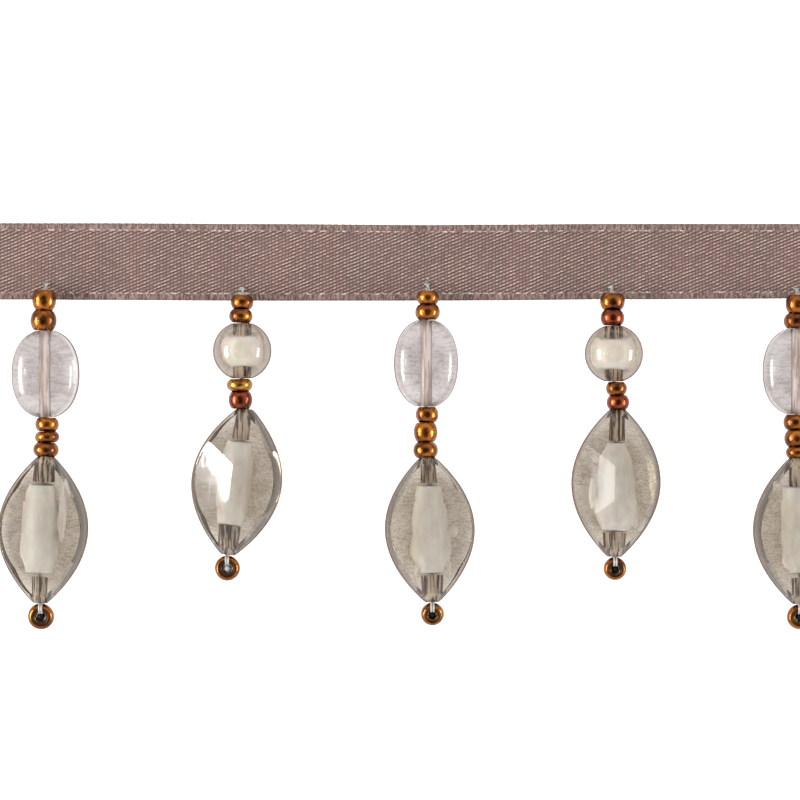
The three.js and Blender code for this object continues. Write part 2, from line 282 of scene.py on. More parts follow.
def add_node(tree, kind, *values, output=None, **named):
    """Adds a node and gives its first open output, or the one that is named.

    The values go to its open inputs in their order. A name with a capital is an input too, and the
    others are settings. A value is a number, a vector, a colour or the output of another node.
    """
    node = tree.nodes.new("ShaderNode" + kind)
    for name in [name for name in named if name.islower()]:
        setattr(node, name, named.pop(name))
    filled = list(zip([socket for socket in node.inputs if socket.enabled], values))
    filled += [(node.inputs[name.replace("_", " ")], value) for name, value in named.items()]
    for socket, value in filled:
        if isinstance(value, bpy.types.NodeSocket):
            tree.links.new(value, socket)
        else:
            socket.default_value = value
    return node.outputs[output] if output else next(socket for socket in node.outputs if socket.enabled)


def new_material(name, **constants):
    """A material with one shader, then its tree, what adds nodes to it, its shader and its places.

    The places on the piece are in millimetres.
    """
    material = bpy.data.materials.new(name)
    material.use_nodes = True
    tree = material.node_tree
    add = functools.partial(add_node, tree)
    shader = tree.nodes["Principled BSDF"]
    for socket, value in constants.items():
        shader.inputs[socket.replace("_", " ")].default_value = value
    place = add("Mapping", add("TexCoord", output="Object"), Scale=(1 / MM,) * 3)
    return material, tree, add, shader, place


def uneven(add, place, scale, detail=3.0, rough=0.55, stretch=(1, 1, 1)):
    """An uneven pattern with so many spots in a millimetre. A stretch under 1 draws them out."""
    return add("TexNoise", add("Mapping", place, Scale=stretch), scale, detail, rough)


def clouded(add, place, scale, low, high, **pattern):
    """An uneven pattern whose contrast is raised: 0 below the low level, 1 above the high one."""
    return add("MapRange", uneven(add, place, scale, **pattern), low, high, interpolation_type="SMOOTHSTEP")


def near(add, value, middle, far, close):
    """1 where a value lies close to a middle, and 0 where it is far from it."""
    away = add("Math", add("Math", value, middle, operation="SUBTRACT"), operation="ABSOLUTE")
    return add("MapRange", away, far, close, interpolation_type="SMOOTHSTEP")


def upright(add):
    """How far a face looks up or down: 1 where it lies flat, 0 where it stands upright."""
    height = add("SeparateXYZ", add("NewGeometry", output="Normal"), output="Z")
    return add("Math", height, operation="ABSOLUTE")


def satin_floats(add, place, drift):
    """The floats of the weave, slanting in columns: their colour, their painted highlight and their painted
    shadow.

    It also gives the chance of each float and of each column, for small changes of its colour.
    """
    x, y = (add("SeparateXYZ", place, output=axis) for axis in "XY")
    x = add("Math", drift, 0.45, x, operation="MULTIPLY_ADD")
    x = add("Math", x, mm(sizes().weave_column), operation="DIVIDE")
    y = add("Math", drift, 0.4, y, operation="MULTIPLY_ADD")
    y = add("Math", y, mm(sizes().weave_row), operation="DIVIDE")
    column = add("Math", x, operation="FLOOR")
    across = add("Math", add("Math", x, operation="FRACT"), 0.5, operation="SUBTRACT")
    # Each column's floats stand two fifths of a row higher than the last one's, and slant to meet them
    climb = add("Math", across, 0.3, add("Math", column, 0.4, operation="MULTIPLY"), operation="MULTIPLY_ADD")
    steps = add("Math", y, climb, operation="SUBTRACT")
    along = add("Math", steps, operation="FRACT")
    cell = add("CombineXYZ", column, add("Math", steps, operation="FLOOR"))
    chance = add("TexWhiteNoise", cell)
    lane = add("TexWhiteNoise", column, noise_dimensions="1D")

    # Painted light: a highlight on each float's crest, a painted shadow in the dip under it and painted shade
    # in the seams between the columns
    crest = near(add, along, 0.62, 0.25, 0.02)
    dip = near(add, along, 0.2, 0.24, 0.04)
    side = add("Math", across, operation="ABSOLUTE")
    seam = add("MapRange", side, 0.26, 0.5, interpolation_type="SMOOTHSTEP")
    patch = clouded(add, place, 0.6, 0.3, 0.65, detail=2.0)
    patch = add("Math", patch, 0.5, 0.6, operation="MULTIPLY_ADD")
    strength = add("Math", chance, 0.95, 0.22, operation="MULTIPLY_ADD")
    strength = add("Math", strength, patch, operation="MULTIPLY")
    lit = add("Math", crest, strength, operation="MULTIPLY")
    lit = add("Math", lit, add("Math", seam, -0.6, 1.0, operation="MULTIPLY_ADD"), operation="MULTIPLY")
    dark = add("Math", dip, add("Math", strength, 0.6, 0.3, operation="MULTIPLY_ADD"), operation="MULTIPLY")
    dark = add("Math", dark, add("Math", seam, 0.72, operation="MULTIPLY"), operation="MAXIMUM")

    satin = add("Mix", lane, linear(0x64504B), linear(0x6C5853), data_type="RGBA")
    satin = add("Mix", dark, satin, colours().ribbon_deep, data_type="RGBA")
    satin = add("Mix", lit, satin, colours().ribbon, data_type="RGBA")
    return satin, lit, dark, chance, lane


def selvedge_ribs(add, place, drift, rim):
    """The plain band: its colour, the place in each rib, the chance of each rib and its fibres."""
    rib = add("Math", drift, 1.6, add("SeparateXYZ", place, output="X"), operation="MULTIPLY_ADD")
    rib = add("Math", rib, 2 * mm(sizes().weave_column), operation="DIVIDE")
    luck = add("TexWhiteNoise", add("Math", rib, operation="FLOOR"), noise_dimensions="1D")
    rib = add("Math", add("Math", rib, operation="FRACT"), 0.5, operation="SUBTRACT")
    rib = add("Math", rib, operation="ABSOLUTE")
    fibres = uneven(add, place, 4.0, detail=4.0, rough=0.7, stretch=(1, 0.25, 1))
    raised = add("MapRange", rib, 0.38, 0.5, interpolation_type="SMOOTHSTEP")
    raised = add("Math", raised, add("Math", luck, 0.9, 0.05, operation="MULTIPLY_ADD"), operation="MULTIPLY")
    raised = add("Math", raised, 0.75, operation="MULTIPLY")
    streaks = add("MapRange", fibres, 0.4, 0.66, interpolation_type="SMOOTHSTEP")
    plain = add("Mix", streaks, linear(0x4E3B37), linear(0x8A746D), data_type="RGBA")
    plain = add("Mix", raised, plain, linear(0x948179), data_type="RGBA")
    shadow = add("MapRange", rim, 0.24, 0.04, interpolation_type="SMOOTHSTEP")
    shadow = add("Math", shadow, 0.45, operation="MULTIPLY")
    plain = add("Mix", shadow, plain, colours().ribbon_deep, data_type="RGBA")
    return plain, rib, luck, fibres


def woven_satin():
    """Polyester satin ribbon: slanting floats in columns, with a soft sheen across them."""
    material, tree, add, shader, place = new_material(
        "woven_satin",
        Roughness=0.62,
        IOR=1.5,
        Sheen_Weight=0.2,
        Sheen_Roughness=0.4,
        Specular_IOR_Level=0.3,
    )
    # Yarn wanders a little, so that the floats don't stand in ruled lines
    drift = add("Math", uneven(add, place, 0.5), 0.5, operation="SUBTRACT")
    satin, lit, dark, chance, lane = satin_floats(add, place, drift)
    rim = add("Attribute", attribute_name="rim", output="Fac")
    plain, rib, luck, fibres = selvedge_ribs(add, place, drift, rim)
    selvedge = mm(sizes().selvedge)
    band = add("MapRange", rim, selvedge + 0.06, selvedge - 0.06, interpolation_type="SMOOTHSTEP")
    cloth = add("Mix", band, satin, plain, data_type="RGBA")

    # Pale broken dashes along the selvedge's inner side, and the shade beside them
    wander = add("Math", fibres, 0.3, rim, operation="MULTIPLY_ADD")
    dash = near(add, wander, selvedge + 0.15, 0.11, 0.02)
    broken = add("MapRange", rib, 0.44, 0.15, interpolation_type="SMOOTHSTEP")
    dash = add("Math", dash, broken, operation="MULTIPLY")
    dash = add("Math", dash, add("Math", luck, 1.1, -0.15, operation="MULTIPLY_ADD"), operation="MULTIPLY")
    under = near(add, wander, selvedge + 0.4, 0.14, 0.02)
    broken = add("MapRange", rib, 0.4, 0.1, interpolation_type="SMOOTHSTEP")
    under = add("Math", under, broken, operation="MULTIPLY")
    under = add("Math", under, 0.5, operation="MULTIPLY")
    cloth = add("Mix", under, cloth, colours().ribbon_deep, data_type="RGBA")
    cloth = add("Mix", dash, cloth, colours().ribbon_edge, data_type="RGBA")

    clouds = clouded(add, place, 0.12, 0.3, 0.7, detail=2.0)
    shade = add(
        "HueSaturation",
        Color=cloth,
        Value=add("Math", clouds, 0.12, 0.96, operation="MULTIPLY_ADD"),
        Hue=add("Math", chance, 0.01, 0.494, operation="MULTIPLY_ADD"),
        Saturation=add("Math", lane, 0.16, 0.98, operation="MULTIPLY_ADD"),
    )
    tree.links.new(shade, shader.inputs["Base Color"])
    height = add("Math", lit, dash, operation="ADD")
    height = add("Math", height, add("Math", dark, 0.5, operation="MULTIPLY"), operation="SUBTRACT")
    tree.links.new(add("Bump", 0.6, 0.06 * MM, Height=height), shader.inputs["Normal"])
    return material


def moulded_acrylic(name, tint, deep, rim, dye, cloud, grain, rough=0.05):
    """Moulded acrylic: dyed through, with flow clouds, the grain of its mould and painted shade at its rim.
    """
    material, tree, add, shader, place = new_material(
        name, Roughness=rough, IOR=1.49, Transmission_Weight=1.0
    )
    clouds = clouded(add, place, 0.45, 0.35, 0.7)
    grains = uneven(add, place, 5.5, detail=2.0, rough=0.6)
    lines = uneven(add, place, 2.4, rough=0.7, stretch=(0.35, 2.2, 1))
    speck = add("Math", grains, lines, operation="ADD")
    speck = add("MapRange", speck, 0.9, 1.16, interpolation_type="SMOOTHSTEP")
    clouds = add("Math", clouds, cloud, operation="MULTIPLY")
    speck = add("Math", speck, grain, operation="MULTIPLY")
    marks = add("Math", add("Math", clouds, speck, operation="ADD"), 0.2, operation="ADD")
    # They lie on the underside, so that the core shows clearly from above. Seen from inside, a face's
    # normal is turned round.
    height = add("SeparateXYZ", add("NewGeometry", output="True Normal"), output="Z")
    inside = add("NewGeometry", output="Backfacing")
    outward = add("Math", inside, -2.0, 1.0, operation="MULTIPLY_ADD")
    outward = add("Math", height, outward, operation="MULTIPLY")
    under = add("MapRange", outward, 0.1, -0.1, interpolation_type="SMOOTHSTEP")
    marks = add("Math", under, marks, operation="MULTIPLY")
    body = add("Mix", marks, tint, deep, data_type="RGBA")
    # Painted shade: the tint darkens towards the rim colour where the surface is seen edge on
    facing = add("LayerWeight", 0.35, output="Facing")
    edge = add("Math", facing, 1.8, operation="POWER")
    tree.links.new(add("Mix", edge, body, rim, data_type="RGBA"), shader.inputs["Base Color"])
    bump = add("Bump", 0.05, 0.08 * MM, Height=uneven(add, place, 0.6, detail=1.0))
    tree.links.new(bump, shader.inputs["Normal"])
    # Painted shade: a thin dark line where the wall stands upright
    share = add("MapRange", facing, 0.46, 0.72, interpolation_type="SMOOTHSTEP")
    share = add("Math", share, 0.9, operation="MULTIPLY")
    outline = add("MixShader", share, shader.outputs[0], add("BsdfDiffuse", rim))
    ends = tree.nodes["Material Output"].inputs
    tree.links.new(outline, ends["Surface"])
    tree.links.new(add("VolumeAbsorption", dye, 200.0), ends["Volume"])
    return material


def smoky_acrylic(name, dye, grain):
    """Smoky acrylic, whose beads of more or less dye share their tint, clouds and painted rim shade."""
    return moulded_acrylic(
        name, colours().smoky, colours().smoky_deep, linear(0x5A3E2E), linear(dye), 0.38, grain
    )


def clear_acrylic():
    """Clear acrylic, nearly without dye, whose skin is a little hazy from a worn mould."""
    return moulded_acrylic(
        "clear_acrylic",
        colours().clear,
        linear(0x90867F),
        # The colour of the painted shade at the rim
        linear(0x5E4E50),
        linear(0xF4F1F0),
        0.35,
        0.6,
        rough=0.18,
    )


def moulded_bore(name, pale, deep, side):
    """The wall of a moulded bore: dark and pale streaks along it, a painted shade and a painted reflection of
    light bent in the bore.
    """
    material, tree, add, shader, place = new_material(
        name, Roughness=0.4, IOR=1.49, Transmission_Weight=0.12
    )
    streaks = uneven(add, place, 3.0, rough=0.6, stretch=(1, 0.07, 0.4))
    factor = add("MapRange", streaks, 0.42, 0.58, interpolation_type="SMOOTHSTEP")
    shaded = add("Mix", factor, deep, pale, data_type="RGBA")
    # Painted shade: dark where the wall stands upright at the sides
    edge = add("MapRange", upright(add), 0.75, 0.35, interpolation_type="SMOOTHSTEP")
    edge = add("Math", edge, 0.9, operation="MULTIPLY")
    tree.links.new(add("Mix", edge, shaded, side, data_type="RGBA"), shader.inputs["Base Color"])
    tree.links.new(add("Bump", 0.6, 0.2 * MM, Height=streaks), shader.inputs["Normal"])
    return material


def milky_core():
    """Milky acrylic: opaque, with a waxy gloss and cloudy flow lines along it."""
    material, tree, add, shader, place = new_material(
        "milky_core", Roughness=0.38, IOR=1.49, Subsurface_Weight=0.3, Subsurface_Scale=0.0006
    )
    flow = clouded(add, place, 1.1, 0.3, 0.75, detail=4.0, stretch=(1, 0.35, 1))
    tone = add("Mix", flow, colours().core, linear(0xECE9E3), data_type="RGBA")
    # Painted light: greyer on its crown, where its faces lie flat, and whiter towards its sides, where more
    # light comes through it
    painted_shade_crown = add("Mix", 0.14, tone, linear(0xA79F90), data_type="RGBA")
    side = add("MapRange", upright(add), 0.97, 0.8, interpolation_type="SMOOTHSTEP")
    tree.links.new(add("Mix", side, painted_shade_crown, tone, data_type="RGBA"), shader.inputs["Base Color"])
    tree.links.new(add("Bump", 0.3, 0.1 * MM, Height=flow), shader.inputs["Normal"])
    return material


def coppered_glass(name, bright):
    """Galvanised glass seed bead: a thin bright metal coat, worn and uneven in tone."""
    material, tree, add, shader, place = new_material(
        name, Metallic=1.0, Roughness=0.2, Coat_Weight=0.2, Coat_Roughness=0.1
    )
    patches = clouded(add, place, 0.55, 0.35, 0.7, detail=4.0, rough=0.6)
    tone = add("Mix", patches, bright, colours().seed_deep, data_type="RGBA")
    # Painted shade: darker towards each bead's outline, where the surface is seen edge on
    edge = add("LayerWeight", 0.5, output="Facing")
    edge = add("MapRange", edge, 0.45, 0.9, interpolation_type="SMOOTHSTEP")
    edge = add("Math", edge, 0.85, operation="MULTIPLY")
    tone = add("Mix", edge, tone, linear(0x4A240F), data_type="RGBA")
    tree.links.new(tone, shader.inputs["Base Color"])
    scuffs = add("Math", uneven(add, place, 3.0, detail=5.0), 0.3, 0.12, operation="MULTIPLY_ADD")
    tree.links.new(scuffs, shader.inputs["Roughness"])
    bump = add("Bump", 0.55, 0.16 * MM, Height=uneven(add, place, 1.1, detail=2.0))
    tree.links.new(bump, shader.inputs["Normal"])
    return material


def painted_shadow_glaze():
    """Dark gloss, a painted shadow: in the mouths of the seed and stop beads, and on the ball in a stop
    bead's hole.
    """
    material, tree, add, shader, place = new_material(
        "painted_shadow_dark_glaze", Roughness=0.4, IOR=1.5, Specular_IOR_Level=0.15
    )
    depth = clouded(add, place, 1.5, 0.3, 0.7)
    tone = add("Mix", depth, linear(0x0C0806), linear(0x241610), data_type="RGBA")
    tree.links.new(tone, shader.inputs["Base Color"])
    return material


def nylon_thread():
    """Clear nylon monofilament: smooth, part see-through, with a pale gloss."""
    material, tree, add, shader, place = new_material(
        "nylon_thread", Roughness=0.3, IOR=1.53, Transmission_Weight=0.12
    )
    flecks = clouded(add, place, 2.5, 0.35, 0.7)
    tone = add("Mix", flecks, colours().thread, linear(0x9B9A98), data_type="RGBA")
    tree.links.new(tone, shader.inputs["Base Color"])
    return material


FINISHES = {
    "satin": woven_satin,
    "smoky": lambda: smoky_acrylic("smoky_acrylic", 0xB3A58E, 0.55),
    "pale_smoky": lambda: smoky_acrylic("pale_smoky_acrylic", 0xCEC0AF, 0.3),
    "clear": clear_acrylic,
    # A bore's colours: painted reflection, painted shade, and the painted shade at its sides
    "bore": lambda: moulded_bore("smoky_bore", colours().bore, colours().bore_painted_shade, linear(0x472A1A)),
    "clear_bore": lambda: moulded_bore(
        "clear_bore", linear(0xFAF2EC), linear(0xB8A296), linear(0x6C5850)
    ),
    "core": milky_core,
    "seed": lambda: coppered_glass("copper_seed", colours().seed),
    "red_seed": lambda: coppered_glass("red_copper_seed", colours().red_seed),
    "gold_seed": lambda: coppered_glass("gold_seed", colours().gold_seed),
    # The dark finish is painted shadow in the mouths of beads and on the ball in a stop bead's hole
    "dark": painted_shadow_glaze,
    "thread": nylon_thread,
}


@functools.cache
def finish_of(name):
    """The material of a piece, made once."""
    return FINISHES[name]()


# Modelling


def deselect():
    if bpy.context.mode != "OBJECT":
        bpy.ops.object.mode_set(mode="OBJECT")
    bpy.ops.object.select_all(action="DESELECT")


def pick(*pieces):
    deselect()
    for piece in pieces:
        piece.select_set(True)
    bpy.context.view_layer.objects.active = pieces[0]


def edit(piece):
    pick(piece)
    bpy.ops.object.mode_set(mode="EDIT")
    bpy.ops.mesh.select_all(action="SELECT")


def done():
    bpy.ops.object.mode_set(mode="OBJECT")


def blank_wire(kind, count):
    """A curve of so many points, and its spline and points to be put in place."""
    deselect()
    bpy.ops.curve.primitive_bezier_curve_add(location=(0, 0, 0))
    wire = bpy.context.object
    wire.data.splines.clear()
    spline = wire.data.splines.new(kind)
    points = spline.bezier_points if kind == "BEZIER" else spline.points
    points.add(count - 1)
    return wire, spline, points


def drawn(outline, closed=False):
    """Draws an outline of (x, y) points as a wire."""
    _, spline, points = blank_wire("POLY", len(outline))
    for point, (x, y) in zip(points, outline):
        point.co = (x, y, 0, 1)
    spline.use_cyclic_u = closed
    bpy.ops.object.convert(target="MESH")
    return bpy.context.object


def spun(outline, steps, closed=False):
    """Spins an outline of (radius, y) points about Y into a closed body."""
    piece = drawn(outline, closed)
    edit(piece)
    bpy.ops.mesh.spin(steps=steps, angle=2 * math.pi, center=(0, 0, 0), axis=(0, 1, 0))
    bpy.ops.mesh.select_all(action="SELECT")
    bpy.ops.mesh.remove_doubles(threshold=WELD)
    bpy.ops.mesh.normals_make_consistent(inside=False)
    done()
    return piece


def modify(piece, kind, **settings):
    pick(piece)
    modifier = piece.modifiers.new(kind.title(), kind)
    for name, value in settings.items():
        setattr(modifier, name, value)
    bpy.ops.object.modifier_apply(modifier=modifier.name)


def copied(master, name):
    pick(master)
    bpy.ops.object.duplicate(linked=False)
    piece = bpy.context.object
    piece.name = piece.data.name = name
    return piece


def turned(piece, x=0.0, y=0.0, z=0.0):
    """Turns a piece by degrees about its own middle, first about X, then Y, then Z."""
    pick(piece)
    piece.rotation_euler = [math.radians(angle) for angle in (x, y, z)]
    bpy.ops.object.transform_apply(location=False, rotation=True, scale=False)


def stretched(piece, x, y, z):
    pick(piece)
    piece.scale = (x, y, z)
    bpy.ops.object.transform_apply(location=False, rotation=False, scale=True)


def placed(piece, centre):
    """Takes a piece that was shaped in millimetres to its place, given in millimetres."""
    pick(piece)
    piece.location = Vector(centre) * MM
    piece.scale = (MM, MM, MM)
    bpy.ops.object.transform_apply(location=True, rotation=True, scale=True)


def smoothed(piece, degrees=35):
    pick(piece)
    bpy.ops.object.shade_smooth_by_angle(angle=math.radians(degrees))


def finished(piece, name, node, *finishes, slot=None):
    """Names a piece, gives it its finishes and lets it stand for its solid."""
    piece.name = piece.data.name = name
    for finish in finishes:
        piece.data.materials.append(finish_of(finish))
    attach(piece, "root")
    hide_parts(node)


def cleared(*pieces):
    pick(*pieces)
    bpy.ops.object.delete()


def middle(node):
    """Middle of a solid's box, in millimetres."""
    low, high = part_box(node)
    return (low + high) / 2 / MM


def axis_height(node):
    """Height of the hole of a bead that rests on its flat spot."""
    return (mm(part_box(node)[1].z) - REST_FLAT) / 2


def tip_of(node, long, wide):
    """The angle that a seed bead is tipped by, from the height and length of its solid's box."""
    low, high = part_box(node)
    tall = mm(high.z - low.z)
    spread = math.hypot(long, wide)
    angle = math.asin(min(1, tall / spread)) - math.atan2(wide, long)
    return max(0.0, math.degrees(angle)) if tall > wide else 0.0


def named_beads():
    """Goes through the beads with their drop's number and their solid's name."""
    for number, beads in enumerate(DROPS, 1):
        seeds = 0
        for bead in beads:
            kind = bead[0]
            if kind.endswith("seed"):
                seeds += 1
                plain = f"seed{seeds}"
            else:
                plain = kind
            yield number, f"drop{number}_{plain}", bead


# Ribbon


def edge_at(x, side):
    """Distance of an edge from the ribbon's centre line: side 1 is the upper edge, 2 the lower."""
    for left, right in zip(RIBBON_EDGES, RIBBON_EDGES[1:]):
        if x <= right[0]:
            share = (x - left[0]) / (right[0] - left[0])
            share = share * share * (3 - 2 * share)
            return left[side] + (right[side] - left[side]) * share
    return RIBBON_EDGES[-1][side]


def lift_at(x, y):
    """How far the ribbon is lifted where a drop's thread pulls at its lower edge."""
    low = max(0.0, min(1.0, (-y - 0.5) / 4.5))
    pull = sum(math.exp(-(((x - place) / 3.2) ** 2)) for place in DROP_PLACES)
    return low * low * (0.12 + 0.33 * min(1.0, pull))


def make_ribbon():
    along, across = 834, 44
    deselect()
    bpy.ops.mesh.primitive_grid_add(x_subdivisions=along, y_subdivisions=across, size=2)
    ribbon = bpy.context.object
    rim = ribbon.data.attributes.new("rim", "FLOAT", "POINT")
    pitch = 2 * mm(sizes().weave_column)
    selvedge = mm(sizes().selvedge)
    for vertex in ribbon.data.vertices:
        x = vertex.co.x * -RIBBON_EDGES[0][0]
        share = vertex.co.y
        # Rows of points stand closer near the edges
        share = math.copysign(1 - (1 - abs(share)) ** 1.35, share)
        reach = edge_at(x, 1) if share > 0 else edge_at(x, 2)
        rib = math.cos(2 * math.pi * x / pitch)
        y = share * (reach - 0.04 + 0.03 * rib)
        inset = reach - abs(y)
        rim.data[vertex.index].value = inset
        ridge = max(0.0, 1 - abs(inset - selvedge) / 0.2)
        edge = max(0.0, 1 - abs(inset - 0.22) / 0.3)
        wave = 0.03 * noise.noise(Vector((x * 0.08, y * 0.3, 0.4)))
        relief = 0.06 * ridge * max(0.0, rib + 0.4) + 0.05 * edge * max(0.0, -rib + 0.5)
        vertex.co = (x, y, relief + wave + lift_at(x, y))
    modify(ribbon, "SOLIDIFY", thickness=mm(sizes().ribbon_thick), offset=1.0)
    lowest = min(vertex.co.z for vertex in ribbon.data.vertices)
    placed(ribbon, (0, 0, -lowest))
    smoothed(ribbon, 60)
    finished(ribbon, "ribbon_woven", "ribbon", "satin", slot="ribbon_weave")


# Seeds


def seed_section(hole, long, wide, points=20):
    """A seed bead's wall in section: a full round outer side and a straight hole."""
    inner, outer, half = hole / 2, wide / 2, long / 2
    last = math.acos((inner + 0.4) / outer)
    outline = []
    for index in range(points):
        angle = last * (2 * index / (points - 1) - 1)
        outline.append((outer * math.cos(angle) ** 0.7, half * math.sin(angle) / math.sin(last)))
    return outline + [(inner, half * 0.85), (inner, -half * 0.85)]


def ring_section(hole, long, wide, points=48):
    """The stop bead's wall in section, an oval, since the bead is seen from its end."""
    centre, half = (hole + wide) / 4, (wide - hole) / 4
    outline = []
    for index in range(points):
        angle = 2 * math.pi * index / points
        outline.append((centre + half * math.cos(angle), long / 2 * math.sin(angle)))
    return outline


# A bead of each kind is modelled at one size, and stretched to each bead's own
SEED_LONG, SEED_WIDE = 2.0, 3.2
STOP_WIDE = 3.3
# The radii of the mouths, painted dark as a shadow, and the lip in the mouth of a stop bead, a thin ring
# painted bright gold as a highlight: radius, thickness and height
SEED_MOUTH, STOP_MOUTH = 0.9, 1.02
LIP, LIP_THICK, LIP_HIGH = 0.72, 0.07, 0.6


def stop_master():
    """A stop bead about Y, with a lip in each mouth of its hole, a thin ring that carries a painted
    highlight.
    """
    parts = [spun(ring_section(mm(sizes().seed_hole), mm(sizes().stop_thick), STOP_WIDE), 48, closed=True)]
    for side in (-1, 1):
        deselect()
        bpy.ops.mesh.primitive_torus_add(
            location=(0, side * LIP_HIGH, 0),
            rotation=(math.pi / 2, 0, 0),
            major_radius=LIP,
            minor_radius=LIP_THICK,
            major_segments=40,
            minor_segments=10,
        )
        parts.append(bpy.context.object)
    pick(*parts)
    bpy.ops.object.join()
    return parts[0]


def mark_mouth(piece, mouth, lip=False):
    """Gives the second finish, a painted shadow, to the walls in the mouth of a hole, and the third one, a
    painted highlight, to its lip.
    """
    for face in piece.data.polygons:
        radius = math.hypot(face.center.x, face.center.z)
        if radius < mouth:
            from_lip = math.hypot(radius - LIP, abs(face.center.y) - LIP_HIGH)
            face.material_index = 2 if lip and from_lip < LIP_THICK + 0.01 else 1


def make_seeds():
    rng = random.Random(7)
    seed = spun(seed_section(mm(sizes().seed_hole), SEED_LONG, SEED_WIDE), 36, closed=True)
    stop = stop_master()
    slots = {"gold_seed": "gold_seed", "red_seed": "red_copper_seed"}
    for _, name, (kind, share, wide, _, turn) in named_beads():
        if kind == "stop":
            piece = copied(stop, name)
            mark_mouth(piece, STOP_MOUTH, lip=True)
            stretched(piece, wide / STOP_WIDE, 1, wide / STOP_WIDE)
            turned(piece, x=90)
            turned(piece, x=turn)
            # The mouth walls take the dark finish as a painted shadow, and the lip the brighter gold as a
            # painted highlight
            finishes = ("seed", "dark", "gold_seed")
        elif kind.endswith("seed"):
            piece = copied(seed, name)
            mark_mouth(piece, SEED_MOUTH)
            turned(piece, y=rng.uniform(0, 360))
            stretched(piece, wide / SEED_WIDE, share / SEED_LONG, wide / SEED_WIDE)
            turned(piece, x=tip_of(name, share - GAP, wide), z=rng.uniform(-3, 3))
            # The walls round the hole take the dark finish, a painted shadow between the beads
            finishes = (kind, "dark")
        else:
            continue
        # No bead is quite round
        wander = Vector([rng.uniform(-9, 9) for _ in range(3)])
        for vertex in piece.data.vertices:
            vertex.co *= 1 + 0.035 * noise.noise(vertex.co * 0.35 + wander)
        placed(piece, middle(name))
        smoothed(piece, 60)
        finished(piece, f"{name}_bead", name, *finishes, slot=slots.get(kind, "copper_seed"))
    cleared(seed, stop)


# Resting beads


def rest_on_floor(piece, height):
    """Cuts the flat spot that a bead rests on, for a bead whose hole is at a height."""
    edit(piece)
    bpy.ops.mesh.bisect(
        plane_co=(0, 0, -height), plane_no=(0, 0, 1), use_fill=True, clear_inner=True, threshold=WELD
    )
    done()


def mark_bore(piece, radius, long):
    """Gives the second finish to the walls that face the bore's middle line, short of the bead's ends."""
    for face in piece.data.polygons:
        spot = Vector((face.center.x, 0, face.center.z))
        inside = spot.length < radius and abs(face.center.y) < long / 2 - 0.02
        if inside and face.normal.dot(spot) < 0.05:
            face.material_index = 1


OVAL_BORE, OVAL_FLAT = 0.72, 1.35  # radii of the bore and of the flat round its mouth
OVAL_CURVE, OVAL_FULLNESS = 2.2, 2.7  # powers of the outline's and the section's curve, 2 in an ellipse


def oval_outline(long, wide, rows=40):
    half = long / 2
    outline = [(OVAL_BORE, -half)]
    for row in range(rows + 1):
        y = -half * math.cos(math.pi * row / rows)
        share = (abs(y) / (half * 1.03)) ** OVAL_CURVE
        outline.append((max(wide / 2 * (1 - share) ** (1 / OVAL_CURVE), OVAL_FLAT), y))
    outline.append((OVAL_BORE, half))
    return outline


def make_ovals():
    for _, name, (kind, share, wide, _, turn) in named_beads():
        if kind != "oval":
            continue
        long = share - GAP + 0.2
        piece = spun(oval_outline(long, wide), 72, closed=True)
        # Flattened, and fuller towards its sides than an ellipse
        flat = mm(sizes().oval_thick) / wide
        for vertex in piece.data.vertices:
            radius = math.hypot(vertex.co.x, vertex.co.z)
            if radius > OVAL_BORE + 0.1:
                sides = (abs(vertex.co.x) / radius, abs(vertex.co.z) / radius)
                reach = sum(side**OVAL_FULLNESS for side in sides) ** (1 / OVAL_FULLNESS)
                vertex.co.x /= reach
                vertex.co.z *= flat / reach
        mark_bore(piece, OVAL_BORE + 0.08, long)
        turned(piece, y=-turn)
        height = axis_height(name)
        rest_on_floor(piece, height)
        modify(piece, "BEVEL", width=0.09, segments=2, limit_method="ANGLE", angle_limit=math.radians(28))
        centre = middle(name)
        centre.z = height
        placed(piece, centre)
        smoothed(piece, 32)
        finished(piece, f"{name}_acrylic", name, "clear", "clear_bore", slot="clear_acrylic")


ROUND_BORE, ROUND_FLAT = 0.95, 1.25  # radii of the bore and of the flat round its mouth
ROUND_SOCKETS = (1.4, 1.45)  # where the upper and the lower socket end, from the bead's middle
# Sections of the round beads' cores, as in the large beads'
ROUND_CORES = {
    2: [(1.5, -1.5, 1.6), (0.6, -1.9, 1.85), (-0.6, -1.75, 1.85), (-1.55, -1.1, 1.5)],
    4: [(1.5, -1.7, 1.6), (0.6, -2.0, 1.95), (-0.8, -2.0, 1.9), (-1.55, -1.6, 1.4)],
}


def round_outline(wide, long, rows=32):
    """A ball with a socket at each end that leads to its core."""
    half = long / 2
    upper, lower = ROUND_SOCKETS
    outline = [(0, -lower), (ROUND_BORE * 0.9, -lower), (ROUND_BORE, -half)]
    for row in range(rows + 1):
        y = -half * math.cos(math.pi * row / rows)
        outline.append((max(math.sqrt(max(0.0, (wide / 2) ** 2 - y * y)), ROUND_FLAT), y))
    outline += [(ROUND_BORE, half), (ROUND_BORE * 0.9, upper), (0, upper)]
    return outline


def make_rounds():
    for number, name, (kind, share, wide, _, _) in named_beads():
        if kind != "round":
            continue
        long = share - GAP + 0.15
        piece = spun(round_outline(wide, long), 72)
        height = axis_height(name)
        mark_bore(piece, ROUND_BORE + 0.1, long)
        rest_on_floor(piece, height)
        centre = middle(name)
        centre.z = height
        placed(piece, centre)
        smoothed(piece, 32)
        finished(piece, f"{name}_acrylic", name, "pale_smoky", "bore", slot="smoky_acrylic")

        core = make_core(ROUND_CORES[number], [], 2.0, number)
        placed(core, centre)
        smoothed(core, 60)
        finished(core, f"{name}_core_milky", f"{name}_core", "core", slot="white_core")


CORE_GRAIN = 0.16  # size of the steps that a core and its blobs are fused in


def sides_at(sections, y):
    """A core's left and right side at a height, smooth between its sections."""
    for (high, *upper), (low, *lower) in zip(sections, sections[1:]):
        if y >= low - WELD:
            share = (high - y) / (high - low)
            share = share * share * (3 - 2 * share)
            return [a + (b - a) * share for a, b in zip(upper, lower)]
    return sections[-1][1:]


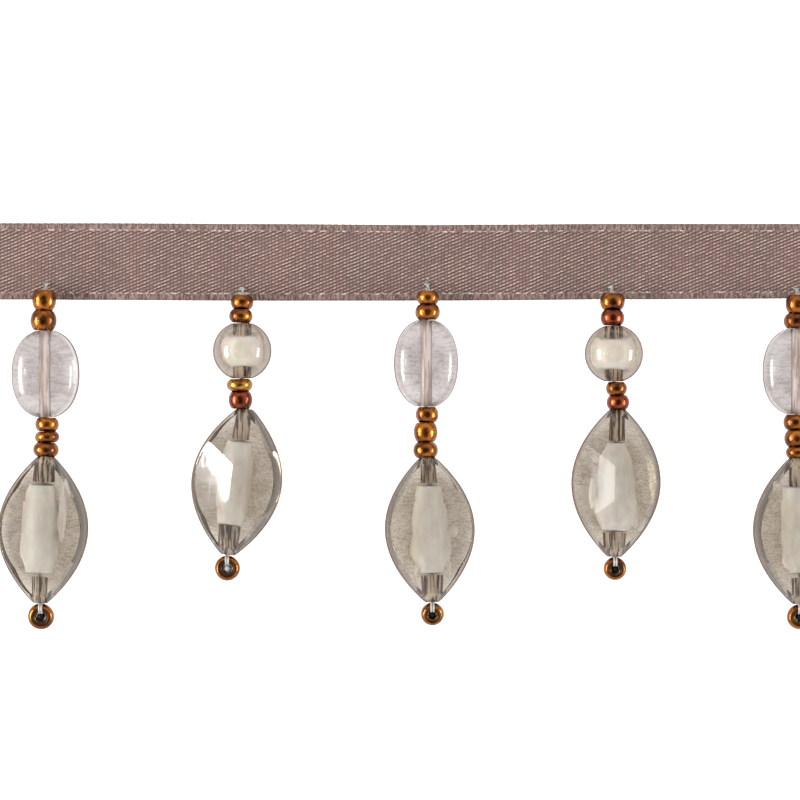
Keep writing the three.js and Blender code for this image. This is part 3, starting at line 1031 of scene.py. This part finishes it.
def make_core(sections, blobs, depth, seed, rows=20):
    """A milky core from its left and right sides, with the beads of melt that stick out of it."""
    top, bottom = sections[0][0], sections[-1][0]
    wall = [(1.0, bottom + (top - bottom) * row / rows) for row in range(rows + 1)]
    piece = spun([(0, bottom), *wall, (0, top)], 36)
    for vertex in piece.data.vertices:
        left, right = sides_at(sections, vertex.co.y)
        radius = (right - left) / 2
        vertex.co.x = (left + right) / 2 + vertex.co.x * radius
        vertex.co.z *= min(radius, depth)
    lumps = [piece]
    for place, half_sizes in blobs:
        deselect()
        bpy.ops.mesh.primitive_uv_sphere_add(segments=20, ring_count=12, radius=1, location=place)
        lump = bpy.context.object
        lump.scale = half_sizes
        pick(lump)
        bpy.ops.object.transform_apply(location=True, rotation=True, scale=True)
        lumps.append(lump)
    pick(*lumps)
    if blobs:
        bpy.ops.object.join()
    modify(piece, "REMESH", mode="VOXEL", voxel_size=CORE_GRAIN)
    modify(piece, "SMOOTH", factor=0.5, iterations=6)
    # The melt has set in uneven waves
    wander = Vector((seed * 3.1, seed * 1.7, seed * 2.3))
    for vertex in piece.data.vertices:
        melt = noise.noise(Vector((vertex.co.x * 0.8, vertex.co.y * 0.35, vertex.co.z * 0.8)) + wander)
        vertex.co.x += 0.14 * melt
        vertex.co.z += 0.1 * melt
    return piece


# Large beads


# Thickness at the sides and at the ends of the facets, length of the ridge, radii of the outline at
# the lower and the upper end, and radius of the lip round each mouth
LARGE = {"edge": 4.8, "end": 3.0, "ridge": 4.6, "ends": (1.0, 1.05), "lip": 0.95}
FLARE = 1.3  # how deep the narrower mouth of a bore reaches


def large_outline(long, wide, sockets, bores, rows=56):
    """The outline from the foot of the lower socket round the bead to the foot of the upper one."""
    foot, head = LARGE["ends"]
    lip, half = LARGE["lip"], long / 2
    upper, lower = bores
    belly = wide - (foot + head) / 2
    outline = [(0, -half + sockets[1]), (lower, -half + sockets[1]), (lower * 0.9, -half + FLARE)]
    outline += [(lip - 0.3, -half), (lip, -half)]
    for row in range(1, rows):
        t = row / rows
        radius = foot * (1 - t) ** 2 + head * t * t + 2 * t * (1 - t) * belly
        outline.append((radius, -half + long * t))
    outline += [(lip, half), (lip - 0.3, half)]
    outline += [(upper * 0.9, half - FLARE), (upper, half - sockets[0]), (0, half - sockets[0])]
    return outline


def facet_slopes(long, wide):
    """How far the facets at the sides and at the ends fall away from the level, as angles."""
    top = mm(sizes().large_thick) / 2
    side = math.atan2(top - LARGE["edge"] / 2, wide / 2)
    return side, math.atan2(top - LARGE["end"] / 2, (long - LARGE["ridge"]) / 2)


def cut_facets(piece, long, wide):
    """Cuts the eight flat facets: two at the sides and two at the ends of each face."""
    top = mm(sizes().large_thick) / 2
    side, end = facet_slopes(long, wide)
    edit(piece)
    for face in (1, -1):
        for way in (1, -1):
            planes = [
                ((0, 0, face * top), (way * math.sin(side), 0, face * math.cos(side))),
                ((0, way * LARGE["ridge"] / 2, face * top), (0, way * math.sin(end), face * math.cos(end))),
            ]
            for point, normal in planes:
                bpy.ops.mesh.select_all(action="SELECT")
                bpy.ops.mesh.bisect(
                    plane_co=point, plane_no=normal, use_fill=True, clear_outer=True, threshold=WELD
                )
    bpy.ops.mesh.select_all(action="SELECT")
    bpy.ops.mesh.remove_doubles(threshold=0.002)
    bpy.ops.mesh.normals_make_consistent(inside=False)
    done()


def make_larges():
    for number, name, (kind, share, wide, lean, turn) in named_beads():
        if kind != "large":
            continue
        long = share - GAP + 0.5
        core = CORES[number]
        piece = spun(large_outline(long, wide, core["sockets"], core["bores"]), 72)
        cut_facets(piece, long, wide)
        mark_bore(piece, max(core["bores"]) * 1.02, long)
        turned(piece, y=-turn)
        centre = middle(name)
        centre.z = axis_height(name)
        rest_on_floor(piece, centre.z)
        turned(piece, z=lean)
        modify(piece, "BEVEL", width=0.1, segments=2, limit_method="ANGLE", angle_limit=math.radians(15))
        placed(piece, centre)
        smoothed(piece, 30)
        modify(piece, "WEIGHTED_NORMAL", weight=80, keep_sharp=True)
        finished(piece, f"{name}_acrylic", name, "smoky", "bore", slot="smoky_acrylic")

        milky = make_core(core["sections"], core["blobs"], 2.3, number + 5)
        turned(milky, y=-turn)
        turned(milky, z=lean)
        placed(milky, centre)
        smoothed(milky, 60)
        finished(milky, f"{name}_core_milky", f"{name}_core", "core", slot="white_core")


# Thread


def thread_route(number):
    """The middle line of a drop's thread, from under the ribbon to the top of the stop bead."""
    place, top = DROP_PLACES[number - 1], DROP_TOPS[number - 1]
    names = [(name, bead) for drop, name, bead in named_beads() if drop == number]
    first = middle(names[0][0])
    head = first.y + (names[0][1][1] - GAP) / 2
    stitch_y = 1.0 - top
    surface = lift_at(place, stitch_y) + mm(sizes().ribbon_thick)
    points = [
        Vector((place, stitch_y + 1.0, 0.3)),
        Vector((place, stitch_y + 0.3, 0.34)),
        Vector((place, stitch_y, surface + 0.25)),
        Vector((place, stitch_y - 0.5, surface + 0.9)),
        Vector((first.x, head + 0.1, first.z)),
        first,
    ]
    for name, (kind, share, _, lean, _) in names[1:]:
        centre = middle(name)
        if kind in ("oval", "round", "large"):
            centre.z = axis_height(name)
            half = (share - GAP) / 2
            ends = [half, -half] if kind != "oval" else [half, 0.0, -half]
            for reach in ends:
                shift = -reach * math.sin(math.radians(lean))
                points.append(Vector((centre.x + shift, centre.y + reach, centre.z)))
        elif kind != "stop":
            points.append(centre)
    return points


def strand(points, radius):
    """One strand of thread along a smooth line through its points."""
    wire, _, knots = blank_wire("BEZIER", len(points))
    for knot, place in zip(knots, points):
        knot.co = place
        knot.handle_left_type = knot.handle_right_type = "AUTO"
    wire.data.dimensions = "3D"
    wire.data.resolution_u = 6
    wire.data.bevel_depth = radius
    wire.data.bevel_resolution = 2
    wire.data.use_fill_caps = True
    bpy.ops.object.convert(target="MESH")
    return bpy.context.object


def strand_points(number, side, radius):
    """The way of one of a drop's two strands, side -1 or 1, which wind round each other."""
    points = []
    for index, point in enumerate(thread_route(number)):
        phase = index * 1.3 + side * math.pi / 2
        points.append(point + Vector((math.cos(phase), 0, math.sin(phase))) * radius * 1.1)
    # Over the rim of the stop bead and down into its hole, a little to this side
    _, _, wide, _, turn = DROPS[number - 1][-1]
    turn = math.radians(turn)
    hole = mm(sizes().seed_hole)
    out = Vector((0, math.cos(turn), math.sin(turn)))
    up = Vector((0, -math.sin(turn), math.cos(turn)))
    beside = ALONG * side * radius * 1.15
    wall = middle(f"drop{number}_stop") + out * (hole + wide) / 4
    reach = (wide - hole) / 4 + radius + 0.04
    rise = mm(sizes().stop_thick) / 2 + radius + 0.03
    points.append(wall + out * (reach + 0.1) + up * 0.3 + beside)
    for degrees in (35, 75, 115, 150, 180):
        angle = math.radians(degrees)
        points.append(wall + out * reach * math.cos(angle) + up * rise * math.sin(angle) + beside)
    points.append(wall - out * reach * 0.9 - up * rise * 0.7 + beside * 0.6)
    return points


BRIGHT_STOP = 2  # the drop whose ball in the stop bead's hole keeps the thread's pale finish, without painted shadow
CLEARANCE = 0.015  # between the ball in the stop bead's hole and the wall of the hole


def make_threads():
    radius = mm(sizes().thread) / 2
    for number, beads in enumerate(DROPS, 1):
        rng = random.Random(40 + number)
        pieces = [strand(strand_points(number, side, radius), radius) for side in (-1, 1)]
        # A small tangle of cut ends at the stitch
        stitch = thread_route(number)[2]
        for _ in range(2):
            tangle = []
            for _ in range(3):
                wander = (rng.uniform(-0.55, 0.55), rng.uniform(-0.15, 0.25), rng.uniform(-0.12, 0.05))
                tangle.append(stitch + Vector(wander))
            pieces.append(strand(tangle, radius * 0.6))
        # A ball closes the hole of the stop bead; on all drops but one it carries a painted shadow
        centre = middle(f"drop{number}_stop")
        knot = mm(sizes().seed_hole) / 2 * beads[-1][2] / STOP_WIDE - CLEARANCE
        deselect()
        bpy.ops.mesh.primitive_uv_sphere_add(segments=32, ring_count=16, radius=knot, location=centre)
        pieces.append(bpy.context.object)
        pick(*pieces)
        bpy.ops.object.join()
        thread = bpy.context.object
        # Painted shadow: the ball takes the dark finish, except on the bright drop
        for face in thread.data.polygons:
            if number != BRIGHT_STOP and (face.center - centre).length < knot + 0.3:
                face.material_index = 1
        placed(thread, (0, 0, 0))
        smoothed(thread, 60)
        name = f"drop{number}_thread"
        finished(thread, f"{name}_nylon", name, "thread", "dark", slot="clear_thread")


# Stage


PHOTO_SCALE = 7.5  # pixels for a millimetre
PHOTO_SIZE = 800
RIBBON_LINE = 261  # pixel row of the ribbon's centre line
MIDDLE_DROP = 427.9  # pixel column of the middle drop
LENS, SENSOR = 150, 36
BEAD_HEIGHT = 3.6  # the height that the scale holds at, in the middle of the large beads

# Narrow lights that the upper left facet of a large bead mirrors towards the camera: the drop, and where
# the two ends of one edge and a point of the far side show on the facet's plane, from the bead's middle,
# each with its distance from there
STRIPS = [
    ("strip_upper", 2, ((-7.92, 6.94, 500), (3.66, -6.01, 500), (3.78, 15.68, 508)), 0.137),
    ("card_upper", 4, ((-2.39, -9.94, 500), (-2.82, 10.72, 500), (8.59, -9.59, 503)), 0.026),
]


def camera_place():
    """Over the middle of the picture, so high that the beads show at the photograph's scale."""
    x = (PHOTO_SIZE / 2 - MIDDLE_DROP) / PHOTO_SCALE
    y = (RIBBON_LINE - PHOTO_SIZE / 2) / PHOTO_SCALE
    return Vector((x, y, BEAD_HEIGHT + PHOTO_SIZE / PHOTO_SCALE * LENS / SENSOR))


def area_light(name, place, turn, wide, tall, power):
    """A rectangular light at a place in millimetres, with its size in metres."""
    deselect()
    bpy.ops.object.light_add(type="AREA", location=place * MM)
    light = bpy.context.object
    light.name = light.data.name = name
    light.data.shape = "RECTANGLE"
    light.data.size, light.data.size_y = wide, tall
    light.data.energy = power
    light.rotation_mode = "QUATERNION"
    light.rotation_quaternion = turn
    return light


def softbox(name, toward, wide, tall, power, tint):
    """A soft light half a metre away that looks at the middle of the picture from a direction."""
    aim = camera_place()
    aim.z = BEAD_HEIGHT
    away = Vector(toward).normalized()
    turn = (-away).to_track_quat("-Z", "Y")
    light = area_light(name, aim + away * 500, turn, wide, tall, power)
    light.data.color = tint


def seen_in_facet(number, x, y, distance):
    """What the camera sees mirrored at a place on the plane of a large bead's upper left facet."""
    name = f"drop{number}_large"
    _, share, wide, lean, turn = next(bead for _, other, bead in named_beads() if other == name)
    slope, _ = facet_slopes(share, wide)
    bead_turn = Euler((0, math.radians(-turn), math.radians(lean))).to_matrix()
    centre = middle(name)
    centre.z = axis_height(name)
    height = mm(sizes().large_thick) / 2 + x * math.tan(slope)
    spot = centre + bead_turn @ Vector((x, y, height))
    sight = (spot - camera_place()).normalized()
    return spot + distance * sight.reflect(bead_turn @ Vector((-math.sin(slope), 0, math.cos(slope))))


def strip_light(name, number, corners, power):
    """A small light whose edge runs between the first two corners, and that faces the beads."""
    first, second, beyond = (seen_in_facet(number, *corner) for corner in corners)
    edge = second - first
    side = beyond - first
    side -= side.project(edge)
    facing = edge.cross(side).normalized()
    if facing.z > 0:
        facing = -facing
    right = edge.normalized()
    turn = Matrix((right, right.cross(facing), -facing)).transposed().to_quaternion()
    area_light(name, (first + second + side) / 2, turn, edge.length * MM, side.length * MM, power)


def make_camera():
    deselect()
    bpy.ops.object.camera_add(location=camera_place() * MM)
    camera = bpy.context.object
    camera.name = camera.data.name = "camera_above"
    camera.rotation_euler = (0, 0, 0)
    camera.data.lens, camera.data.sensor_width = LENS, SENSOR
    camera.data.clip_start, camera.data.clip_end = 0.01, 10
    bpy.context.scene.camera = camera


def make_floor():
    """A light table: pale, with a glow of its own that leaves only faint shadows."""
    deselect()
    bpy.ops.mesh.primitive_plane_add(size=6, location=(0, 0, -0.00002))
    floor = bpy.context.object
    floor.name = floor.data.name = "floor"
    material, *_ = new_material(
        "pale_floor",
        Base_Color=colours().floor,
        Roughness=0.9,
        Specular_IOR_Level=0.0,
        Emission_Color=linear(0xFFFFFF),
        Emission_Strength=0.9,
    )
    floor.data.materials.append(material)


def make_tent():
    """A light tent: bright low down, like its walls, and dark round the camera overhead."""
    world = bpy.data.worlds.new("studio")
    bpy.context.scene.world = world
    world.use_nodes = True
    add = functools.partial(add_node, world.node_tree)
    height = add("SeparateXYZ", add("TexCoord", output="Generated"), output="Z")
    wall = add("MapRange", height, 0.05, 0.35, interpolation_type="SMOOTHSTEP")
    roof = add("MapRange", height, 0.74, 0.9, interpolation_type="SMOOTHSTEP")
    tent = add("Mix", wall, (0.3, 0.3, 0.3, 1), (1.6, 1.6, 1.6, 1), data_type="RGBA")
    tent = add("Mix", roof, tent, (0.1, 0.1, 0.105, 1), data_type="RGBA")
    world.node_tree.links.new(tent, world.node_tree.nodes["Background"].inputs["Color"])


def make_stage():
    view = bpy.context.scene.view_settings
    view.view_transform, view.look = "Standard", "None"
    make_camera()
    make_floor()
    make_tent()
    softbox("softbox_left", (-1.0, -0.05, 0.48), 0.32, 0.11, 3.2, (1, 0.98, 0.95))
    softbox("softbox_right", (1.0, -0.1, 0.4), 0.26, 0.09, 1.8, (1, 0.99, 0.97))
    for strip in STRIPS:
        strip_light(*strip)


# Operators, one for each piece or group of like pieces


class TRIM_OT_stage(bpy.types.Operator):
    """Makes the camera, the floor and the lights"""

    bl_idname = "trim.stage"
    bl_label = "Stage"

    def execute(self, context):
        make_stage()
        return {"FINISHED"}


class TRIM_OT_ribbon(bpy.types.Operator):
    """Makes the woven satin ribbon"""

    bl_idname = "trim.ribbon"
    bl_label = "Ribbon"

    def execute(self, context):
        make_ribbon()
        return {"FINISHED"}


class TRIM_OT_seeds(bpy.types.Operator):
    """Makes the copper seed beads and the stop beads"""

    bl_idname = "trim.seeds"
    bl_label = "Seed beads"

    def execute(self, context):
        make_seeds()
        return {"FINISHED"}


class TRIM_OT_ovals(bpy.types.Operator):
    """Makes the clear oval beads"""

    bl_idname = "trim.ovals"
    bl_label = "Oval beads"

    def execute(self, context):
        make_ovals()
        return {"FINISHED"}


class TRIM_OT_rounds(bpy.types.Operator):
    """Makes the smoky round beads and their cores"""

    bl_idname = "trim.rounds"
    bl_label = "Round beads"

    def execute(self, context):
        make_rounds()
        return {"FINISHED"}


class TRIM_OT_larges(bpy.types.Operator):
    """Makes the large faceted beads and their cores"""

    bl_idname = "trim.larges"
    bl_label = "Large beads"

    def execute(self, context):
        make_larges()
        return {"FINISHED"}


class TRIM_OT_threads(bpy.types.Operator):
    """Makes the nylon threads"""

    bl_idname = "trim.threads"
    bl_label = "Threads"

    def execute(self, context):
        make_threads()
        return {"FINISHED"}


OPERATORS = (
    TRIM_OT_stage,
    TRIM_OT_ribbon,
    TRIM_OT_seeds,
    TRIM_OT_ovals,
    TRIM_OT_rounds,
    TRIM_OT_larges,
    TRIM_OT_threads,
)


class TRIM_PT_panel(bpy.types.Panel):
    """Lists the trim's sizes, colours and pieces"""

    bl_idname = "TRIM_PT_panel"
    bl_label = "Beaded trim"
    bl_space_type = "VIEW_3D"
    bl_region_type = "UI"
    bl_category = "Trim"

    def draw(self, context):
        for group in (context.scene.trim_sizes, context.scene.trim_colours):
            for name in group.bl_rna.properties.keys():
                if name not in ("rna_type", "name"):
                    self.layout.prop(group, name)
        for operator in OPERATORS:
            self.layout.operator(operator.bl_idname)


CLASSES = (TrimSizes, TrimColours, *OPERATORS, TRIM_PT_panel)


def register():
    for each in CLASSES:
        bpy.utils.register_class(each)
    bpy.types.Scene.trim_sizes = PointerProperty(type=TrimSizes)
    bpy.types.Scene.trim_colours = PointerProperty(type=TrimColours)


def unregister():
    del bpy.types.Scene.trim_colours
    del bpy.types.Scene.trim_sizes
    for each in reversed(CLASSES):
        bpy.utils.unregister_class(each)


def main():
    register()
    for name in ("stage", "ribbon", "seeds", "ovals", "rounds", "larges", "threads"):
        getattr(bpy.ops.trim, name)()
    deselect()


if __name__ == "__main__":
    main()
